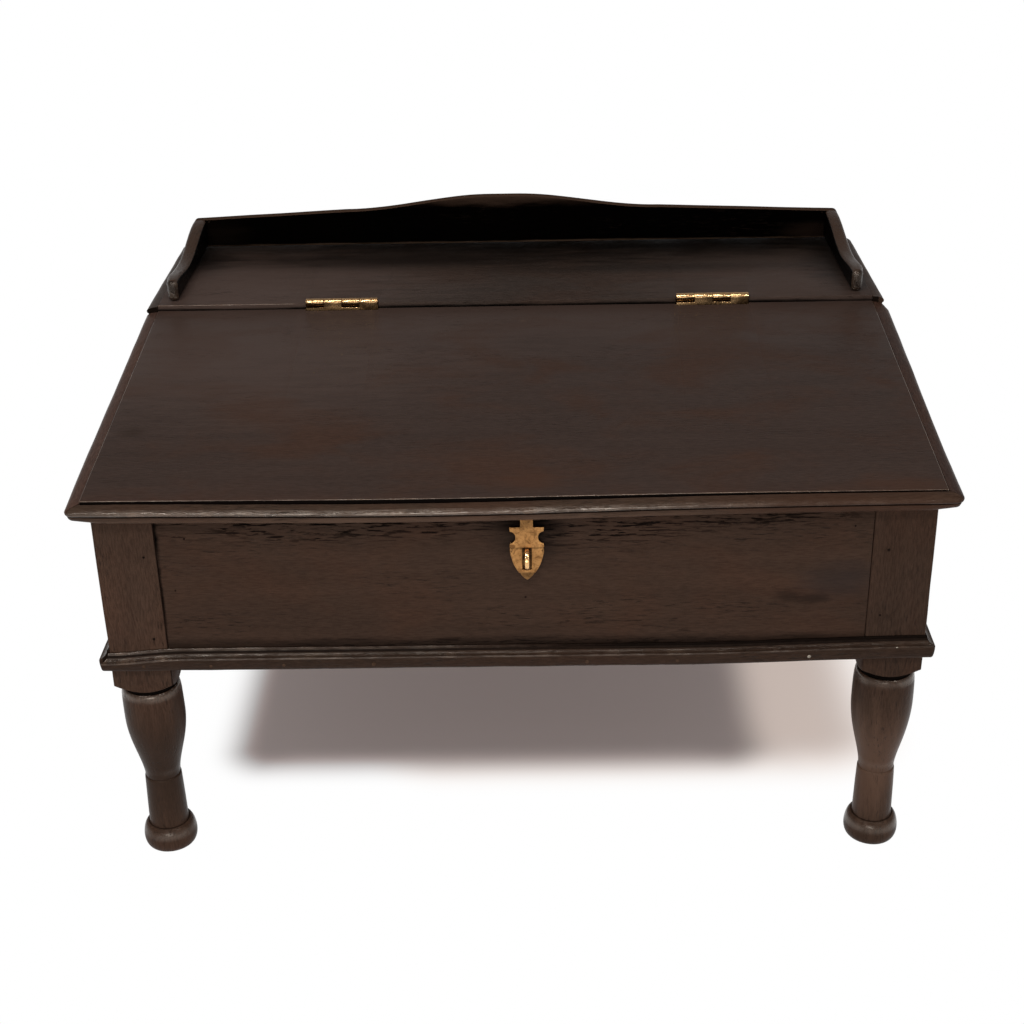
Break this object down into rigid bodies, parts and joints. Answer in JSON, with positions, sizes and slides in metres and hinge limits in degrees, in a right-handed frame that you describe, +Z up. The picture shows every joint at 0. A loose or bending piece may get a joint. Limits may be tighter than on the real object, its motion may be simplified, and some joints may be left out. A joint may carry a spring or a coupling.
{
  "type": "lap desk",
  "caption": "Low wooden lap desk: sloped hinged lid with moulded edges, galleried shelf behind it, brass hasp and staple, turned legs.",
  "frame": {"origin": "on the floor under the middle of the desk's box", "axes": "+X to the sitter's right, +Y away from the sitter, +Z up"},
  "size_m": [0.6504, 0.5011, 0.408],
  "materials": {
    "dark_wood": "dark waxed polish, worn reddish on the edges",
    "bare_wood": "unpolished, darkened with age",
    "brass": "aged, rubbed and slightly tarnished"
  },
  "bodies": {
    "desk": {"front_left_leg": "dark_wood", "front_right_leg": "dark_wood", "rear_left_leg": "dark_wood", "rear_right_leg": "dark_wood", "front_board": "dark_wood", "back_board": "dark_wood", "left_side_board": "dark_wood", "right_side_board": "dark_wood", "bottom_plank_front": "bare_wood", "bottom_plank_middle": "bare_wood", "bottom_plank_rear": "bare_wood", "base_front_moulding": "dark_wood", "base_left_moulding": "dark_wood", "base_right_moulding": "dark_wood", "top_shelf": "dark_wood", "shelf_left_moulding": "dark_wood", "shelf_right_moulding": "dark_wood", "gallery_back": "dark_wood", "gallery_left_side": "dark_wood", "gallery_right_side": "dark_wood", "left_hinge_shelf_leaf": "brass", "right_hinge_shelf_leaf": "brass", "left_hinge_pin": "brass", "right_hinge_pin": "brass", "staple_plate": "brass", "staple": "brass"},
    "lid": {"lid_board": "dark_wood", "lid_front_moulding": "dark_wood", "lid_left_moulding": "dark_wood", "lid_right_moulding": "dark_wood", "left_hinge_lid_leaf": "brass", "right_hinge_lid_leaf": "brass", "hasp_leaf": "brass", "hasp_pin": "brass"},
    "hasp": {"hasp": "brass"}
  },
  "joints": [
    {"name": "lid_hinge", "type": "hinge", "parent": "desk", "child": "lid", "pos_m": [0, 0.0726, 0.3623], "axis": [-1, 0, 0], "range_deg": [0, 143]},
    {"name": "hasp_swing", "type": "hinge", "parent": "lid", "child": "hasp", "pos_m": [0.01, -0.2412, 0.30718], "axis": [-1, 0, 0], "range_deg": [0, 100]}
  ]
}
